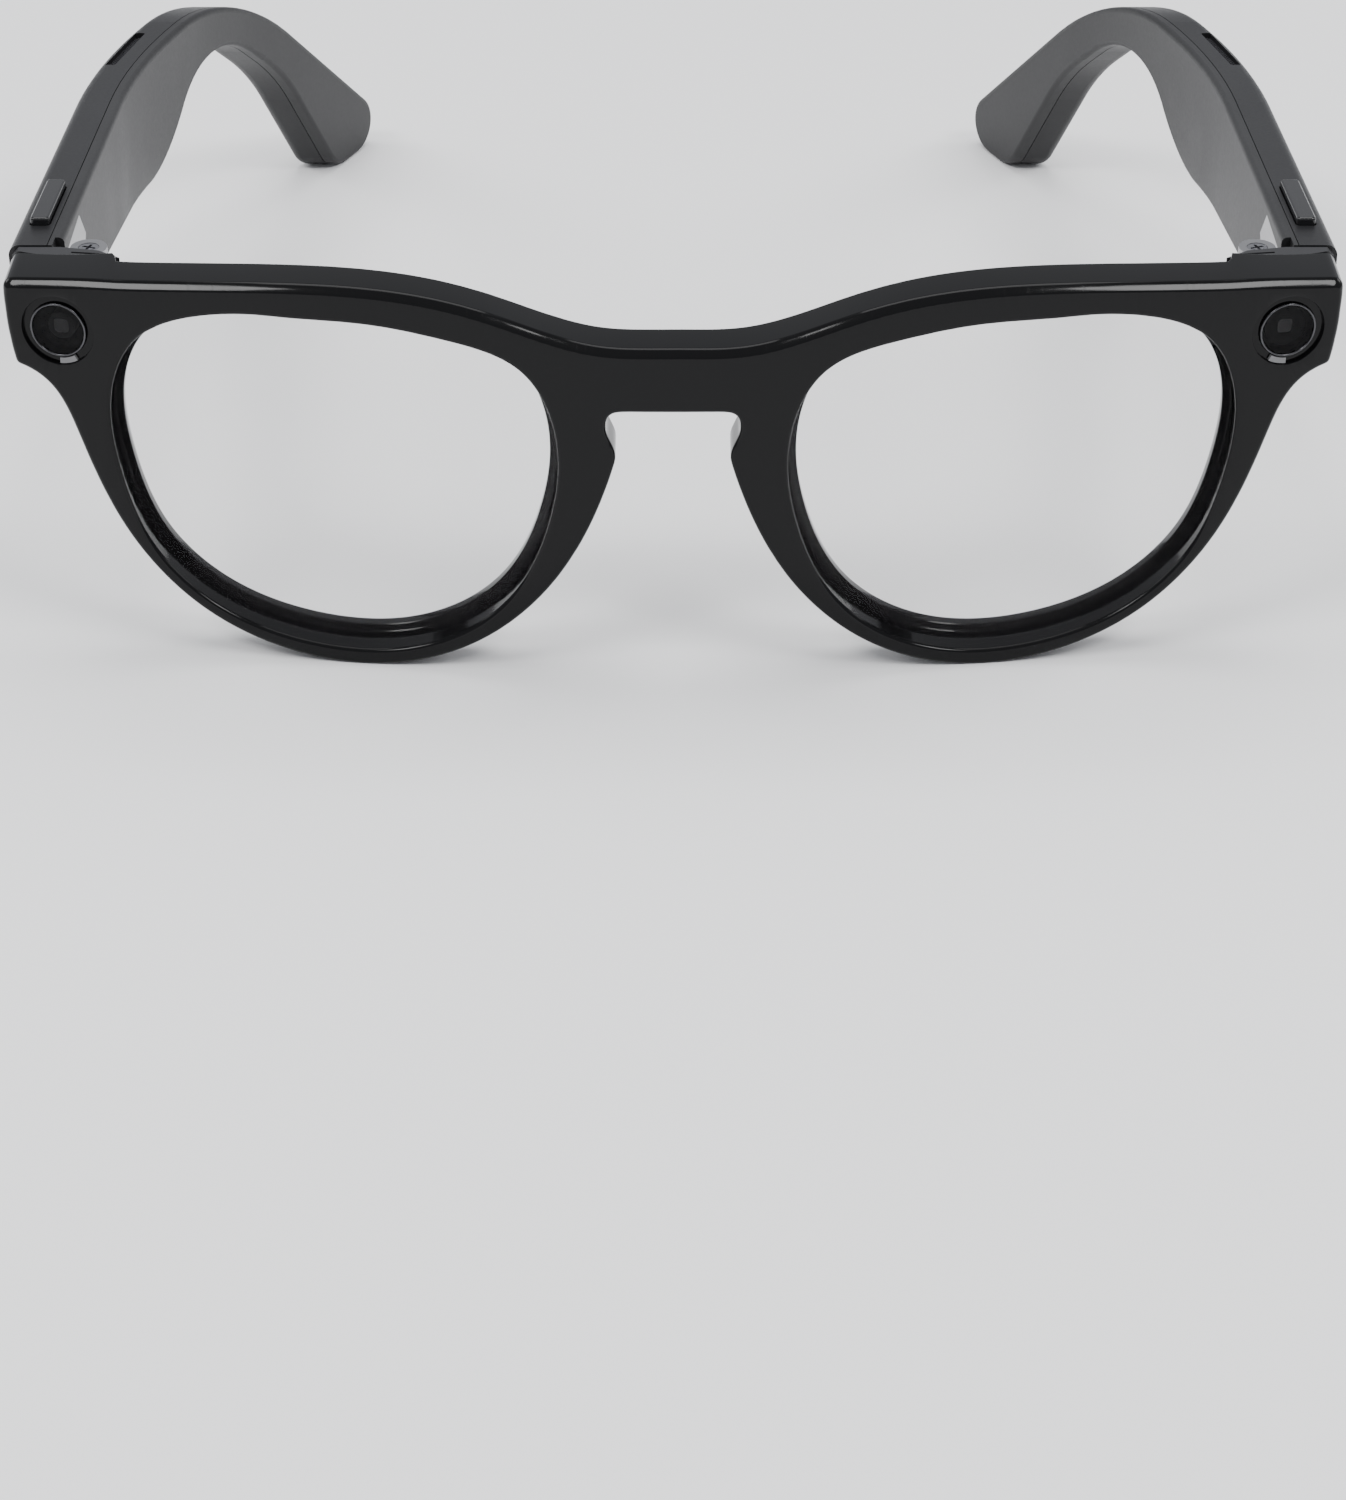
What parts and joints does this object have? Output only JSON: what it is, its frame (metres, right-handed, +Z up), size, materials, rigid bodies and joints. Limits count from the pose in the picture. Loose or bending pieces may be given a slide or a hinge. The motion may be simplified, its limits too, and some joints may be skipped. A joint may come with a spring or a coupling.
{
  "type": "smart glasses",
  "caption": "Black keyhole-bridge glasses with clear round-panto lenses, a camera window and a light window in the endpieces, and thick folding temples with a press button and speaker vent.",
  "frame": {"origin": "on the surface the glasses stand on, under the middle of their outer box", "axes": "+X towards the wearer's left, +Y back along the open temples, +Z up; the front stands upright"},
  "size_m": [0.15, 0.1512, 0.0483],
  "materials": {
    "frame_gloss": "polished black acetate",
    "cover_satin": "fine satin",
    "temple_satin": "fine satin",
    "temple_inner": "fine satin, a shade lighter",
    "button_gloss": "satin gloss",
    "lens_clear": "clear, anti-reflection coated",
    "window_dark": "black glass",
    "bezel_metal": "dark bright ring",
    "light_pipe": "frosted",
    "hinge_metal": "satin nickel",
    "screw_metal": "machined",
    "contact_gold": "gold plated",
    "camera_black": "matte",
    "board_green": "solder mask",
    "chip_black": "moulded package",
    "flex_amber": "polyimide film",
    "battery_foil": "laminated pouch",
    "speaker_black": "moulded",
    "mesh_steel": "black acoustic mesh"
  },
  "bodies": {
    "front": {"front_frame": "frame_gloss", "brow_cover": "cover_satin", "front_flex_cable": "flex_amber", "charge_contacts": "contact_gold", "camera_lens_barrel": "camera_black", "camera_sensor_board": "board_green", "capture_light_diffuser": "light_pipe", "capture_light_board": "board_green", "left_endpiece_cover": "cover_satin", "right_endpiece_cover": "cover_satin", "left_hinge_front_leaf": "hinge_metal", "right_hinge_front_leaf": "hinge_metal", "left_hinge_screw": "screw_metal", "right_hinge_screw": "screw_metal", "left_window_bezel": "bezel_metal", "right_window_bezel": "bezel_metal", "left_window_glass": "window_dark", "right_window_glass": "window_dark", "left_status_light_pipe": "light_pipe", "right_status_light_pipe": "light_pipe"},
    "left_temple": {"left_temple_shell": "temple_satin", "left_temple_inner_cover": "temple_inner", "left_hinge_temple_leaf": "hinge_metal", "left_hinge_leaf_screws": "screw_metal", "left_button_switch": "chip_black", "left_speaker_mesh": "mesh_steel", "left_speaker": "speaker_black", "left_main_board": "board_green", "left_board_chips": "chip_black"},
    "right_temple": {"right_temple_shell": "temple_satin", "right_temple_inner_cover": "temple_inner", "right_hinge_temple_leaf": "hinge_metal", "right_hinge_leaf_screws": "screw_metal", "right_button_switch": "chip_black", "right_speaker_mesh": "mesh_steel", "right_speaker": "speaker_black", "right_battery": "battery_foil", "right_touch_sensor": "flex_amber"},
    "left_button": {"left_temple_button": "button_gloss"},
    "right_button": {"right_temple_button": "button_gloss"},
    "left_lens_body": {"left_lens": "lens_clear"},
    "right_lens_body": {"right_lens": "lens_clear"}
  },
  "joints": [
    {"name": "left_temple_hinge", "type": "hinge", "parent": "front", "child": "left_temple", "pos_m": [0.0663, -0.0565, 0.0408], "axis": [0, 0, 1], "range_deg": [0, 85]},
    {"name": "right_temple_hinge", "type": "hinge", "parent": "front", "child": "right_temple", "pos_m": [-0.0663, -0.0565, 0.0408], "axis": [0, 0, -1], "range_deg": [0, 76]},
    {"name": "left_button_press", "type": "slide", "parent": "left_temple", "child": "left_button", "axis": [0, -0.09, -0.9959], "range_m": [0, 0.0005], "stiffness_N_per_m": 400},
    {"name": "right_button_press", "type": "slide", "parent": "right_temple", "child": "right_button", "axis": [0, -0.09, -0.9959], "range_m": [0, 0.0005], "stiffness_N_per_m": 400},
    {"name": "left_lens_slide", "type": "slide", "parent": "front", "child": "left_lens_body", "axis": [0, -1, 0], "range_m": [0, 0.02]},
    {"name": "right_lens_slide", "type": "slide", "parent": "front", "child": "right_lens_body", "axis": [0, -1, 0], "range_m": [0, 0.02]}
  ]
}
